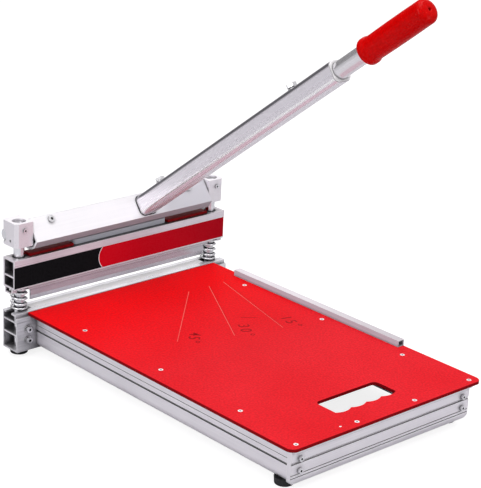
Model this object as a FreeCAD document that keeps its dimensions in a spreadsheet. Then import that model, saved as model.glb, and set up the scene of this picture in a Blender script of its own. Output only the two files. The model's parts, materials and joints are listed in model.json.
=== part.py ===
import FreeCAD, Part
import math
import os
import re
import Sketcher

# Guillotine cutter for flooring tiles and planks, 13 in class, in millimetres.
# Part frame: +Z up, +X to the right, +Y towards the blade; origin at the middle of the ground under it.
# Base pieces are drawn from the table's far edge: X from the middle, Y back from that edge, Z up from
# the table's top. Lever and handle pieces are drawn from the lever's pivot with the handle level.

doc = FreeCAD.newDocument("tile_cutter")
dims = doc.addObject("Spreadsheet::Sheet", "dims")

SIZES = {
    # table
    "table_width": 356, "table_depth": 556.5, "table_thick": 4.5, "table_corner": 11,
    "table_back": 252.25, "table_height": 67, "scribe_width": 0.9, "scribe_deep": 0.4,
    "slot_left": -57, "slot_right": 55.5, "slot_far": -471.5, "slot_near": -514.5,
    "scallop_radius": 25.2, "scallop_deep": 4.3, "slot_corner": 8,
    # rails under the table
    "rail_inset": 12, "rail_width": 28, "rail_bottom": -57, "rail_wall": 2.4, "rail_column": 7,
    "rail_web": -30, "rail_round": 12, "near_front": -545, "near_back": -536.5, "near_lip": -550,
    "near_lip_low": -10.5, "end_screw_x": 152, "end_screw_high": -22, "end_screw_low": -38.5,
    # lower beam
    "beam_length": 400.4, "beam_front": -4, "beam_back": 31.5, "beam_wall": 2.5, "beam_web": -31,
    "track_floor": -10, "lip_top": 1, "lip_thick": 3, "lip_back": 10.4, "far_lip": 23.4,
    "anvil_length": 330, "wall_hole": 4.5,
    # guide posts and springs
    "post_x": 181, "post_y": 18.5, "post_radius": 8, "post_top": 132, "fit_gap": 0.05,
    "spring_radius": 11.3, "spring_wire": 3, "spring_pitch": 7.9, "clamp_bolt_high": -23.4,
    "clamp_bolt_low": -40.3,
    # pressing beam, blade and cam follower
    "press_length": 398, "press_front": 3.5, "press_bottom": 37, "press_top": 82, "press_web": 56,
    "label_low": 38.9, "label_high": 71.2, "label_sink": 0.9, "blade_front": 12, "blade_thick": 3,
    "blade_edge": 12.5, "blade_top": 36.8, "jaw_bottom": 31, "follower_length": 176, "bush_radius": 10,
    "bush_length": 20,
    # post blocks and lever shaft
    "block_half": 15, "block_front": 4, "block_back": 39.5, "block_bottom": 99.5, "block_top": 136,
    "pivot_y": 37, "pivot_z": 112, "shaft_radius": 9, "hub_radius": 15, "shaft_end": 192,
    "bush_outer": 10.5, "lever_bush": 25, "block_screw_z": 125, "block_pin_z": 108,
    # lever and its cam: the cam's reach grows evenly with the turn
    "lever_length": 330.7, "lever_face": 30, "face_high": 7.1, "face_low": -29.65, "lever_wall": 3,
    "cam_reach": 22, "cam_rate": 18.5, "lever_swing": 33.7, "handle_lift": 36.8,
    # handle
    "handle_x": 42, "handle_drop": -11.5, "tube_wide": 30, "tube_high": 31, "tube_wall": 1.6,
    "tube_round": 8, "tube_start": 30.3, "tube_end": 515, "inner_radius": 12.5, "inner_start": 275,
    "inner_end": 693, "grip_start": 577, "grip_end": 701, "grip_radius": 17.4, "clamp_at": 85,
    "lock_at": 422,
    # fence and feet
    "fence_width": 12, "fence_high": 9.5, "fence_wall": 1.2, "fence_far": -62, "fence_near": -410,
    "foot_radius": 13.5, "foot_high": 10, "foot_near_y": -519,
}
names = re.compile(r"\b(" + "|".join(SIZES) + r")\b")
for row, (alias, number) in enumerate(SIZES.items(), start=1):
    dims.set("A%d" % row, alias)
    dims.set("B%d" % row, str(number))
    dims.setAlias("B%d" % row, alias)
doc.recompute()

subparts = []


def size(alias):
    """A driving dimension, read from the sheet."""
    return float(dims.get(alias))


def bind(thing, prop, formula):
    thing.setExpression(prop, names.sub(r"dims.\1", str(formula)))


def place(thing, x="0", y="table_back", z="table_height"):
    """Carries a piece from the table's edge frame into the part frame."""
    bind(thing, "Placement.Base.x", x)
    bind(thing, "Placement.Base.y", y)
    bind(thing, "Placement.Base.z", z)


def tilt(thing):
    thing.Placement.Rotation = FreeCAD.Rotation(FreeCAD.Vector(-1, 0, 0), size("handle_lift"))


def place_on_lever(thing):
    """Carries a piece from the level lever's frame, about the pivot, to its rest angle."""
    tilt(thing)
    place(thing, "0", "table_back + pivot_y", "table_height + pivot_z")


def place_on_handle(thing):
    """The same for a piece drawn about the handle's own axis."""
    tilt(thing)
    place(thing, "handle_x", "table_back + pivot_y + handle_drop * sin(handle_lift)",
          "table_height + pivot_z + handle_drop * cos(handle_lift)")


def finish(label, thing, placing=place):
    """Names a finished sub-part and sets it in the part frame."""
    thing.Label = label
    placing(thing)
    subparts.append(thing)


def new_body(label):
    return doc.addObject("PartDesign::Body", label + "_body")


def sketch_on(body, plane, outlines=(), circles=(), offset="0"):
    """A sketch on one of the body's origin planes, every corner and circle tied to the sheet."""
    sketch = body.newObject("Sketcher::SketchObject", body.Label + "_sketch")
    role = {"XY": "XY_Plane", "XZ": "XZ_Plane", "YZ": "YZ_Plane"}[plane]
    origin_plane = [f for f in body.Origin.OriginFeatures if f.Role == role][0]
    sketch.AttachmentSupport = [(origin_plane, "")]
    sketch.MapMode = "FlatFace"
    bind(sketch, "AttachmentOffset.Base.z", offset)
    tied = []
    for outline in outlines:
        count = len(outline)
        first = sketch.GeometryCount
        spots = [FreeCAD.Vector(math.cos(math.tau * i / count), math.sin(math.tau * i / count), 0)
                 for i in range(count)]
        sketch.addGeometry([Part.LineSegment(spots[i], spots[(i + 1) % count]) for i in range(count)])
        for i, (across, up) in enumerate(outline):
            line = first + i
            sketch.addConstraint(Sketcher.Constraint("Coincident", line, 2, first + (i + 1) % count, 1))
            tied.append((sketch.addConstraint(Sketcher.Constraint("DistanceX", -1, 1, line, 1, spots[i].x)),
                         across))
            tied.append((sketch.addConstraint(Sketcher.Constraint("DistanceY", -1, 1, line, 1, spots[i].y)),
                         up))
    for across, up, radius in circles:
        ring = sketch.addGeometry(Part.Circle(FreeCAD.Vector(1, 1, 0), FreeCAD.Vector(0, 0, 1), 1))
        tied.append((sketch.addConstraint(Sketcher.Constraint("DistanceX", -1, 1, ring, 3, 1)), across))
        tied.append((sketch.addConstraint(Sketcher.Constraint("DistanceY", -1, 1, ring, 3, 1)), up))
        tied.append((sketch.addConstraint(Sketcher.Constraint("Radius", ring, 1)), radius))
    for index, formula in tied:
        bind(sketch, "Constraints[%d]" % index, formula)
    return sketch


def pad(body, plane, outlines=(), circles=(), length="1", start="0"):
    """Adds a prism that runs from start along the plane's normal."""
    feature = body.newObject("PartDesign::Pad", body.Label + "_pad")
    feature.Profile = sketch_on(body, plane, outlines, circles, start)
    bind(feature, "Length", length)
    doc.recompute()
    return feature


def pocket(body, plane, outlines=(), circles=(), depth="1", start="0"):
    """Cuts a prism that runs from start against the plane's normal."""
    before = body.Shape.Volume
    feature = body.newObject("PartDesign::Pocket", body.Label + "_pocket")
    feature.Profile = sketch_on(body, plane, outlines, circles, start)
    bind(feature, "Length", depth)
    doc.recompute()
    if body.Shape.Volume > before - 0.01:
        raise RuntimeError(body.Label + ": a pocket cut nothing")
    return feature


def revolve(body, plane, outline, axis, offset="0"):
    """Adds a turned shape; axis is H_Axis or V_Axis of its sketch."""
    feature = body.newObject("PartDesign::Revolution", body.Label + "_turned")
    sketch = sketch_on(body, plane, [outline], offset=offset)
    feature.Profile = sketch
    feature.ReferenceAxis = (sketch, [axis])
    feature.Angle = 360
    doc.recompute()
    return feature


def soften(body, wanted, radius, kind="Fillet"):
    """Rounds or chamfers the edges of the body that wanted() picks."""
    base = body.Tip
    edges = ["Edge%d" % (i + 1) for i, edge in enumerate(base.Shape.Edges) if wanted(edge)]
    feature = body.newObject("PartDesign::" + kind, body.Label + "_" + kind.lower())
    feature.Base = (base, edges)
    bind(feature, "Radius" if kind == "Fillet" else "Size", radius)
    doc.recompute()
    return feature


def box_outline(left, right, low, high):
    return [(left, low), (right, low), (right, high), (left, high)]


def along(axis, edge):
    """True for a straight edge parallel to an axis, given as 0, 1 or 2."""
    if not isinstance(edge.Curve, Part.Line):
        return False
    step = edge.Vertexes[-1].Point.sub(edge.Vertexes[0].Point)
    return abs(step[axis]) > 0.999 * step.Length


def middle(edge):
    return edge.BoundBox.Center


def together(solids):
    group = doc.addObject("Part::Compound", "group")
    group.Links = solids
    return group


def cylinder(radius, height, x, y, z, towards):
    """A Part cylinder from a point along a direction, sizes bound to the sheet."""
    solid = doc.addObject("Part::Cylinder", "cylinder")
    solid.Placement.Rotation = FreeCAD.Rotation(FreeCAD.Vector(0, 0, 1), FreeCAD.Vector(*towards))
    place(solid, x, y, z)
    bind(solid, "Radius", radius)
    bind(solid, "Height", height)
    return solid


def cone(radius, end_radius, height, x, y, z, towards):
    solid = doc.addObject("Part::Cone", "cone")
    solid.Placement.Rotation = FreeCAD.Rotation(FreeCAD.Vector(0, 0, 1), FreeCAD.Vector(*towards))
    place(solid, x, y, z)
    bind(solid, "Radius1", radius)
    bind(solid, "Radius2", end_radius)
    bind(solid, "Height", height)
    return solid


def hexagon(across_flats, height, x, y, z, towards):
    solid = doc.addObject("Part::Prism", "hexagon")
    solid.Polygon = 6
    solid.Placement.Rotation = FreeCAD.Rotation(FreeCAD.Vector(0, 0, 1), FreeCAD.Vector(*towards))
    place(solid, x, y, z)
    bind(solid, "Circumradius", "(%s) / sqrt(3)" % across_flats)
    bind(solid, "Height", height)
    return solid


def join(kind, base, tool):
    """Part::Cut, Part::Fuse or Part::Common of two objects."""
    result = doc.addObject("Part::" + kind, kind.lower())
    result.Base = base
    result.Tool = tool
    return result


def fuse(*solids):
    result = solids[0]
    for solid in solids[1:]:
        result = join("Fuse", result, solid)
    return result


def plus(formula, step):
    return "(%s) + (%s)" % (formula, step)


def socket_screw(x, y, z, towards, shank, head=3.6, head_high=4, shank_radius=2):
    """Cap screw whose head's underside sits at the point; towards is where the head looks."""
    tail = [-step for step in towards]
    head_body = cylinder(head, head_high, x, y, z, towards)
    deep = [step * head_high for step in towards]
    key = hexagon(head * 0.85, head_high * 0.6, plus(x, deep[0]), plus(y, deep[1]), plus(z, deep[2]), tail)
    return fuse(join("Cut", head_body, key), cylinder(shank_radius, shank, x, y, z, tail))


def countersunk_screw(x, y, z, shank, head=4, head_high=2.2):
    """Flat-headed screw that points down, its face level with the point."""
    head_body = cone(head, 2, head_high, x, y, z, (0, 0, -1))
    recess = hexagon(2.6, 1.2, x, y, z, (0, 0, -1))
    return fuse(join("Cut", head_body, recess), cylinder(1.9, shank, x, y, plus(z, -head_high), (0, 0, -1)))


def hex_bolt(x, y, z, towards, shank, across=13, head_high=5.3, shank_radius=3.9):
    """Hexagon bolt with a washer face; its underside sits at the point."""
    tail = [-step for step in towards]
    washer = cylinder(across * 0.49, 0.6, x, y, z, towards)
    lift = [step * 0.6 for step in towards]
    head_body = hexagon(across, head_high, plus(x, lift[0]), plus(y, lift[1]), plus(z, lift[2]), towards)
    return fuse(washer, head_body, cylinder(shank_radius, shank, x, y, z, tail))


def box(length, width, height, x, y, z, turn=0):
    """A Part box from its low corner, turned about Z."""
    solid = doc.addObject("Part::Box", "box")
    solid.Placement.Rotation = FreeCAD.Rotation(FreeCAD.Vector(0, 0, 1), turn)
    place(solid, x, y, z)
    bind(solid, "Length", length)
    bind(solid, "Width", width)
    bind(solid, "Height", height)
    return solid


def drill(piece, tools):
    """Cuts holes and seats, each a Part solid, out of a piece."""
    return join("Cut", piece, together(tools))


SIDES = (("left", "-1"), ("right", "1"))
X_AXIS, Y_AXIS, Z_AXIS = (1, 0, 0), (0, 1, 0), (0, 0, 1)
DOWN, FRONT = (0, 0, -1), (0, -1, 0)

# ---- table ----
side_screw_rows = ("-102", "-271", "-432")
near_screw_columns = ("-161", "-53.5", "54.5", "162.5")
near_screw_row = "-545.5"
rail_middle = "table_width / 2 - rail_inset - rail_width / 2"
side_screw_spots = [("%s * (%s)" % (sign, rail_middle), row) for _, sign in SIDES for row in side_screw_rows]
near_screw_spots = [(column, near_screw_row) for column in near_screw_columns]
table_screw_spots = side_screw_spots + near_screw_spots
dowel_spot = ("-81", "-543")
screw_head = 3.4
# each angle line leaves the same spot beside the fence: angle, distance to its start
scribe_lines = ((45, 133.4), (30, 109.3), (15, 97.1))
scribe_spot = (159.5, 21.5)
scribe_length = 194.5
fence_rivet_rows = ("-90", "-382")
fence_middle = "table_width / 2 - fence_width / 2"


def scribe_groove(angle, start):
    lean = math.radians(angle)
    x = scribe_spot[0] - start * math.sin(lean)
    y = scribe_spot[1] - start * math.cos(lean)
    return box(scribe_length, "scribe_width", "scribe_deep", x, y, "-scribe_deep", -90 - angle)


def finger_scallops():
    """Four shallow arcs side by side along the near edge of the hand slot."""
    width = "(slot_right - slot_left)"
    columns = ["slot_left + %s * %s / 8" % (2 * finger + 1, width) for finger in range(4)]
    arcs = [cylinder("scallop_radius", "table_thick", column, "slot_near + scallop_radius", 0, DOWN)
            for column in columns]
    band = box(width, 10, "table_thick", "slot_left", "slot_near - 1", "-table_thick")
    return join("Common", fuse(*arcs), band)


def make_table():
    body = new_body("table")
    edge = "table_width / 2"
    pad(body, "XY", [box_outline("-" + edge, edge, "-table_depth", "-0.2")],
        length="table_thick", start="-table_thick")
    near = -size("table_depth")
    soften(body, lambda e: along(2, e) and middle(e).y < near + 1, "table_corner")
    cusps = "slot_near + scallop_deep"
    pocket(body, "XY", [box_outline("slot_left", "slot_right", cusps, "slot_far")], depth="table_thick")
    far = size("slot_far")
    soften(body, lambda e: along(2, e) and abs(middle(e).y - far) < 0.5, "slot_corner")
    top = size("table_thick")
    soften(body, lambda e: abs(middle(e).z) < 0.01 and e.BoundBox.ZLength < 0.01 and middle(e).y < -top * 2
           and (abs(middle(e).x) > size("table_width") / 2 - 6 or middle(e).y < near + 2), "0.6")
    seats = [finger_scallops()]
    for x, y in table_screw_spots:
        seats.append(cone(screw_head, 2, 2.2, x, y, 0, DOWN))
        seats.append(cylinder(1.9, "table_thick", x, y, 0, DOWN))
    seats.append(cylinder(1.6, "table_thick", *dowel_spot, 0, DOWN))
    seats += [cylinder(2, "table_thick", fence_middle, row, 0, DOWN) for row in fence_rivet_rows]
    seats += [scribe_groove(angle, start) for angle, start in scribe_lines]
    finish("table_plate", drill(body, seats))
    screws = [countersunk_screw(x, y, 0, 12, screw_head) for x, y in side_screw_spots]
    screws += [countersunk_screw(x, y, 0, 8, screw_head) for x, y in near_screw_spots]
    screws.append(cylinder(1.6, "table_thick + 4", *dowel_spot, 0, DOWN))
    finish("table_screws", together(screws))


# ---- rails under the table ----
end_screw_spots = [("%s * end_screw_x" % sign, high) for _, sign in SIDES
                   for high in ("end_screw_high", "end_screw_low")]


def rail_cavities(inner, column_left, column_right, outer, sign):
    """Four hollows: either side of the screw column, above and below the web."""
    low, high = "rail_web - 1.25", "rail_web + 1.25"
    floor, roof = "rail_bottom + rail_wall", "-table_thick - rail_wall"
    rounded = [(column_right, floor), ("%s - %s * 2.6" % (outer, sign), floor + " + 1.3"),
               (outer, floor + " + 3.8"), (outer, low), (column_right, low)]
    return [box_outline(inner, column_left, floor, low), rounded,
            box_outline(inner, column_left, high, roof), box_outline(column_right, outer, high, roof)]


# grooves along the outer faces: height of the middle, half width, depth
side_grooves = ((-29.6, 1.5, 2), (-20.9, 0.4, 0.8), (-12.2, 0.5, 0.8))
near_grooves = ((-47.7, 0.5), (-43.5, 0.5), (-27.2, 1.8))


def make_side_rail(side, sign):
    body = new_body("side_rail")
    outer = "%s * (table_width / 2 - rail_inset)" % sign
    inner = "%s * (table_width / 2 - rail_inset - rail_width)" % sign
    notch = "%s * 2" % sign
    outline = [(inner, "rail_bottom"), (outer, "rail_bottom")]
    for middle_z, half, deep in side_grooves:
        floor = "%s - %s * %s" % (outer, sign, deep)
        outline += [(outer, middle_z - half), (floor, middle_z - half),
                    (floor, middle_z + half), (outer, middle_z + half)]
    outline += [(outer, "-table_thick"), (inner, "-table_thick")]
    wall, column = "%s * rail_wall" % sign, "%s * rail_column / 2" % sign
    centre = "%s * end_screw_x" % sign
    cavities = rail_cavities("%s + %s" % (inner, wall), "%s - %s" % (centre, column),
                             "%s + %s" % (centre, column), "%s - %s - %s" % (outer, wall, notch), sign)
    channels = [(centre, high, 2) for high in ("end_screw_high", "end_screw_low")]
    pad(body, "XZ", [outline] + cavities, channels, length="-near_back + beam_front", start="-beam_front")
    reach = abs(size("table_width") / 2 - size("rail_inset"))
    soften(body, lambda e: along(1, e) and abs(abs(middle(e).x) - reach) < 0.1
           and abs(middle(e).z - size("rail_bottom")) < 0.1, "rail_round")
    column_x = "%s * (%s)" % (sign, rail_middle)
    taps = [cylinder(1.9, 14.2 - size("table_thick"), column_x, row, "-table_thick", DOWN)
            for row in side_screw_rows]
    taps.append(cylinder(2, 6, column_x, "foot_near_y", "rail_bottom", Z_AXIS))
    finish("side_rail_" + side, drill(body, taps))


def make_near_rail():
    body = new_body("near_rail")
    front, back = "near_front", "near_back"
    outline = [(back, "rail_bottom"), (front + " + 2", "rail_bottom"), (front, "rail_bottom + 6")]
    for middle_z, half in near_grooves:
        outline += [(front, middle_z - half), (front + " + 1.5", middle_z - half),
                    (front + " + 1.5", middle_z + half), (front, middle_z + half)]
    outline += [(front, "near_lip_low"), ("near_lip", "near_lip_low"), ("near_lip", "-table_thick"),
                (back, "-table_thick")]
    half = "(table_width / 2 - rail_inset)"
    pad(body, "YZ", [outline], length="2 * " + half, start="-" + half)
    soften(body, lambda e: along(1, e) and abs(middle(e).z - size("rail_bottom")) < 0.1, 6)
    holes = [cylinder(2, "near_back - near_front", x, "near_front", z, Y_AXIS) for x, z in end_screw_spots]
    holes += [cylinder(1.9, 10.2 - size("table_thick"), x, near_screw_row, "-table_thick", DOWN)
              for x in near_screw_columns]
    holes.append(cylinder(1.6, 4, *dowel_spot, "-table_thick", DOWN))
    finish("near_rail", drill(body, holes))
    screws = [socket_screw(x, "near_front", z, FRONT, 24) for x, z in end_screw_spots]
    finish("rail_end_screws", together(screws))


# ---- lower beam ----
clamp_bolt_spots = [("%s * post_x" % sign, high) for _, sign in SIDES
                    for high in ("clamp_bolt_high", "clamp_bolt_low")]
clamp_depth = "post_y - post_radius + 4"


def make_lower_beam():
    body = new_body("lower_beam")
    front, back, wall = "beam_front", "beam_back", "beam_wall"
    lip_low = "lip_top - lip_thick"
    outline = [(front, "rail_bottom"), (back, "rail_bottom"), (back, "lip_top"), ("far_lip", "lip_top"),
               ("far_lip", lip_low), (back + " - beam_wall", lip_low), (back + " - beam_wall", "track_floor"),
               (wall, "track_floor"), (wall, lip_low), ("lip_back", lip_low), ("lip_back", "lip_top"),
               ("0", "lip_top"), ("0", "-table_thick"), (front, "-table_thick")]
    inside = ("beam_front + beam_wall", "beam_back - beam_wall")
    chambers = [box_outline(*inside, "rail_bottom + beam_wall", "beam_web - beam_wall / 2"),
                box_outline(*inside, "beam_web + beam_wall / 2", "track_floor - beam_wall")]
    pad(body, "YZ", [outline] + chambers, length="beam_length", start="-beam_length / 2")
    holes = [cylinder("post_radius", 60, "%s * post_x" % sign, "post_y", "rail_bottom + beam_wall", Z_AXIS)
             for _, sign in SIDES]
    holes += [cylinder(2, "beam_wall", "%s * post_x" % sign, "post_y", "rail_bottom", Z_AXIS)
              for _, sign in SIDES]
    holes += [cylinder(2, "beam_wall", x, "beam_front", z, Y_AXIS) for x, z in clamp_bolt_spots]
    holes += [cylinder(2, "beam_wall", x, "beam_front", z, Y_AXIS) for x, z in end_screw_spots]
    holes += [cylinder("wall_hole", "beam_wall", x, "beam_back", z, FRONT) for x, z in end_screw_spots]
    finish("lower_beam", drill(body, holes))
    clamps = [fuse(cylinder(6, 1, x, "beam_front", z, FRONT),
                   socket_screw(x, "beam_front - 1", z, FRONT, clamp_depth + " - beam_front + 1", 4.5, 4.6))
              for x, z in clamp_bolt_spots]
    finish("post_clamp_bolts", together(clamps))
    ties = [socket_screw(x, "beam_front + beam_wall", z, Y_AXIS, 16) for x, z in end_screw_spots]
    finish("beam_rail_screws", together(ties))


def make_anvil():
    body = new_body("anvil")
    gap = 0.1
    low, neck = "track_floor + %s" % gap, "lip_top - lip_thick - %s" % gap
    outline = [("beam_wall + 1", low), ("beam_back - beam_wall - 1", low), ("beam_back - beam_wall - 1", neck),
               ("far_lip - %s" % gap, neck), ("far_lip - %s" % gap, "lip_top"),
               ("lip_back + %s" % gap, "lip_top"), ("lip_back + %s" % gap, neck), ("beam_wall + 1", neck)]
    pad(body, "YZ", [outline], length="anvil_length", start="-anvil_length / 2")
    finish("anvil_strip", body)


# ---- posts, springs and blocks ----
def make_post(side, sign):
    body = new_body("post")
    centre = ("%s * post_x" % sign, "post_y")
    pad(body, "XY", circles=[centre + ("post_radius",)], length="post_top - rail_bottom - beam_wall",
        start="rail_bottom + beam_wall")
    soften(body, lambda e: abs(middle(e).z - size("post_top")) < 0.1, 1, "Chamfer")
    holes = [cylinder(2, clamp_depth, centre[0], 0, z, Y_AXIS) for z in ("clamp_bolt_high", "clamp_bolt_low")]
    holes.append(cylinder(2, clamp_depth, centre[0], 0, "block_screw_z", Y_AXIS))
    holes.append(cylinder(2, "post_radius", "%s * (post_x + post_radius)" % sign, "post_y", "block_pin_z",
                          (-int(sign), 0, 0)))
    holes.append(cylinder(2, 6, centre[0], "post_y", "rail_bottom + beam_wall", Z_AXIS))
    finish("guide_post_" + side, drill(body, holes))


def make_spring(side, sign):
    """A round wire wound on a helix, its two ends ground flat between the beams."""
    wire, pitch, radius = size("spring_wire"), size("spring_pitch"), size("spring_radius")
    low, high = size("lip_top"), size("press_bottom") - 0.2
    rise = high - low
    helix = Part.makeHelix(pitch, rise + wire, radius)
    ring = Part.Wire(Part.makeCircle(wire / 2, FreeCAD.Vector(radius, 0, 0), FreeCAD.Vector(0, 1, 0)))
    coil = Part.Wire(helix).makePipeShell([ring], True, True)
    coil.translate(FreeCAD.Vector(0, 0, low - wire / 2))
    slab = Part.makeBox(4 * radius, 4 * radius, rise, FreeCAD.Vector(-2 * radius, -2 * radius, low))
    spring = doc.addObject("Part::Feature", "spring")
    spring.Shape = coil.common(slab)
    finish("spring_" + side, spring, lambda s: place(s, "%s * post_x" % sign, "table_back + post_y"))


def make_block(side, sign):
    body = new_body("block")
    outer = "%s * (post_x + block_half)" % sign
    inner = "%s * (post_x - block_half)" % sign
    outline = [(inner, "block_front"), ("%s - %s * 5" % (outer, sign), "block_front"),
               (outer, "block_front + 5"), (outer, "block_back"), (inner, "block_back")]
    pad(body, "XY", [outline], length="block_top - block_bottom", start="block_bottom")
    reach = size("post_x") + size("block_half")
    soften(body, lambda e: along(2, e) and abs(abs(middle(e).x) - reach) < 0.1
           and middle(e).y > size("block_back") - 1, 6)
    centre = "%s * post_x" % sign
    tools = [cylinder("post_radius", "block_top - block_bottom", centre, "post_y", "block_bottom", Z_AXIS),
             cylinder("post_radius + 2", "block_top - post_top", centre, "post_y", "block_top", DOWN),
             cylinder("shaft_radius", "4 * block_half", "%s - 2 * block_half" % centre, "pivot_y", "pivot_z",
                      X_AXIS),
             cylinder(2, "post_y - post_radius + 1", centre, 0, "block_screw_z", Y_AXIS),
             cylinder(2, "block_half", outer, "post_y", "block_pin_z", (-int(sign), 0, 0))]
    finish("post_block_" + side, drill(body, tools))


def make_block_screws():
    screws = [socket_screw("%s * post_x" % sign, "block_front", "block_screw_z", FRONT, 10, 3.2, 2.6)
              for _, sign in SIDES]
    finish("block_screws", together(screws))
    pins = []
    for _, sign in SIDES:
        start = "%s * (post_x + block_half - 1.5)" % sign
        pin = cylinder(2, "block_half - 1.5", start, "post_y", "block_pin_z", (-int(sign), 0, 0))
        key = hexagon(2, 2, start, "post_y", "block_pin_z", (-int(sign), 0, 0))
        pins.append(join("Cut", pin, key))
    finish("block_set_screws", together(pins))


def make_shaft():
    shaft = cylinder("shaft_radius", "2 * shaft_end", "-shaft_end", "pivot_y", "pivot_z", X_AXIS)
    finish("lever_shaft", together([shaft]))


# ---- pressing beam and blade ----
blade_screw_columns = [str(70 * step) for step in range(-2, 3)]
clamp_screw_z = "press_bottom - 3"


def make_press_beam():
    body = new_body("press_beam")
    front, back, low = "press_front", "beam_back", "press_bottom"
    jaw = "blade_front - 0.1"
    outline = [(front, low), (jaw + " - 3", low), (jaw + " - 3", "jaw_bottom"), (jaw, "jaw_bottom"),
               (jaw, low), ("25", low), ("25", "jaw_bottom"), ("16", "jaw_bottom"), ("16", "jaw_bottom - 2.5"),
               ("28", "jaw_bottom - 2.5"), ("28", low), (back, low), (back, "press_top"),
               (front, "press_top"), (front, "label_high"), (front + " + label_sink", "label_high"),
               (front + " + label_sink", "label_low"), (front, "label_low")]
    inside = (front + " + label_sink + 2.5", back + " - 3")
    chambers = [box_outline(*inside, "press_bottom + 3", "press_web - 1.4"),
                box_outline(*inside, "press_web + 1.4", "press_top - 3")]
    pad(body, "YZ", [outline] + chambers, length="press_length", start="-press_length / 2")
    tools = []
    for _, sign in SIDES:
        centre = ("%s * post_x" % sign, "post_y")
        tools.append(cylinder("bush_radius", "press_top - press_bottom", *centre, "press_bottom", Z_AXIS))
        tools.append(cylinder("spring_radius + 2.4", 12, *centre, "press_bottom", DOWN))
    tools += [cylinder(2, 3.5, x, 28.2, clamp_screw_z, FRONT) for x in blade_screw_columns]
    tools += [cylinder(1.9, 3, x, "post_y", "press_top", DOWN) for x in (-70, 70)]
    finish("upper_beam", drill(body, tools))


def make_bushings():
    sleeves = []
    for _, sign in SIDES:
        for start in ("press_bottom", "press_top - bush_length"):
            sleeve = cylinder("bush_radius", "bush_length", "%s * post_x" % sign, "post_y", start, Z_AXIS)
            bore = cylinder("post_radius + fit_gap", "bush_length", "%s * post_x" % sign, "post_y", start,
                            Z_AXIS)
            sleeves.append(join("Cut", sleeve, bore))
    finish("guide_bushings", together(sleeves))


def make_blade():
    body = new_body("blade")
    back = "blade_front + blade_thick"
    outline = [(back, "blade_edge"), (back, "blade_top"), ("blade_front", "blade_top"),
               ("blade_front", "blade_edge + 7.5"), (back + " - 0.25", "blade_edge")]
    pad(body, "YZ", [outline], length="anvil_length", start="-anvil_length / 2")
    finish("blade", body)
    clamp = new_body("clamp")
    pad(clamp, "YZ", [box_outline(back + " + 0.1", "24.9", "jaw_bottom + 0.1", "blade_top")],
        length="anvil_length", start="-anvil_length / 2")
    finish("blade_clamp", clamp)
    screws = []
    for x in blade_screw_columns:
        screw = cylinder(2, 3.9, x, 28.8, clamp_screw_z, FRONT)
        screws.append(join("Cut", screw, hexagon(2, 1.6, x, 28.8, clamp_screw_z, FRONT)))
    finish("blade_screws", together(screws))


def make_label():
    body = new_body("label")
    front = "press_front + label_sink"
    pad(body, "YZ", [box_outline(front + " - 0.6", front, "label_low + 0.1", "label_high - 0.1")],
        length="press_length - 1", start="-press_length / 2 + 0.5")
    finish("label_plate", body)


def make_follower():
    body = new_body("follower")
    half = "follower_length / 2"
    pad(body, "XY", [box_outline("-" + half, half, "post_y - 7", "post_y + 7")],
        length="pivot_z - cam_reach - press_top - 0.3", start="press_top")
    soften(body, lambda e: along(2, e), 6.5)
    screws = []
    seats = []
    top = "pivot_z - cam_reach - 0.3"
    for x in (-70, 70):
        seats += [cone(4, 2, 2.2, x, "post_y", top, DOWN), cylinder(1.9, 9, x, "post_y", top, DOWN)]
        screws.append(countersunk_screw(x, "post_y", top, 8.4))
    finish("pressure_bar", drill(body, seats))
    finish("pressure_bar_screws", together(screws))
    strips = []
    for _, sign in SIDES:
        start = "follower_length / 2 + 2" if sign == "1" else "-follower_length / 2 - 80"
        strips.append(box(78, 16, 3.6, start, "post_y - 9", "press_top"))
    finish("wear_strips", together(strips))


# ---- lever, drawn about its pivot with the handle level and pointing to -Y ----
def cam_point(turn):
    """Where the lever touches the pressure bar after this turn, in the lever's own frame."""
    reach = size("cam_reach") + size("cam_rate") * turn
    down = math.radians(size("handle_lift")) - turn
    return FreeCAD.Vector(0, -size("cam_rate") * math.cos(down) + reach * math.sin(down),
                          -size("cam_rate") * math.sin(down) - reach * math.cos(down))


def tangent_touch(point, radius, above):
    """Where a line from the point touches a circle about the pivot."""
    away = math.hypot(point.y, point.z)
    heading = math.atan2(point.z, point.y)
    spread = math.acos(radius / away)
    angle = heading - spread if above else heading + spread
    return FreeCAD.Vector(0, radius * math.cos(angle), radius * math.sin(angle))


def lever_section():
    face, high, low = -size("lever_face"), size("face_high"), size("face_low")
    hub = size("hub_radius")
    top, bottom = FreeCAD.Vector(0, face, high), FreeCAD.Vector(0, face, low)
    swing = math.radians(size("lever_swing"))
    first, last, steps = swing + 0.03, -0.08, 8
    cam = [cam_point(first + (last - first) * i / steps) for i in range(steps + 1)]
    curve = Part.BSplineCurve()
    curve.interpolate(cam)
    under = tangent_touch(cam[-1], hub, False)
    over = tangent_touch(top, hub, True)
    edges = [Part.LineSegment(top, bottom), Part.LineSegment(bottom, cam[0]), curve,
             Part.LineSegment(cam[-1], under), Part.Arc(under, FreeCAD.Vector(0, hub, 0), over),
             Part.LineSegment(over, top)]
    return Part.Wire([edge.toShape() for edge in edges])


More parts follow.
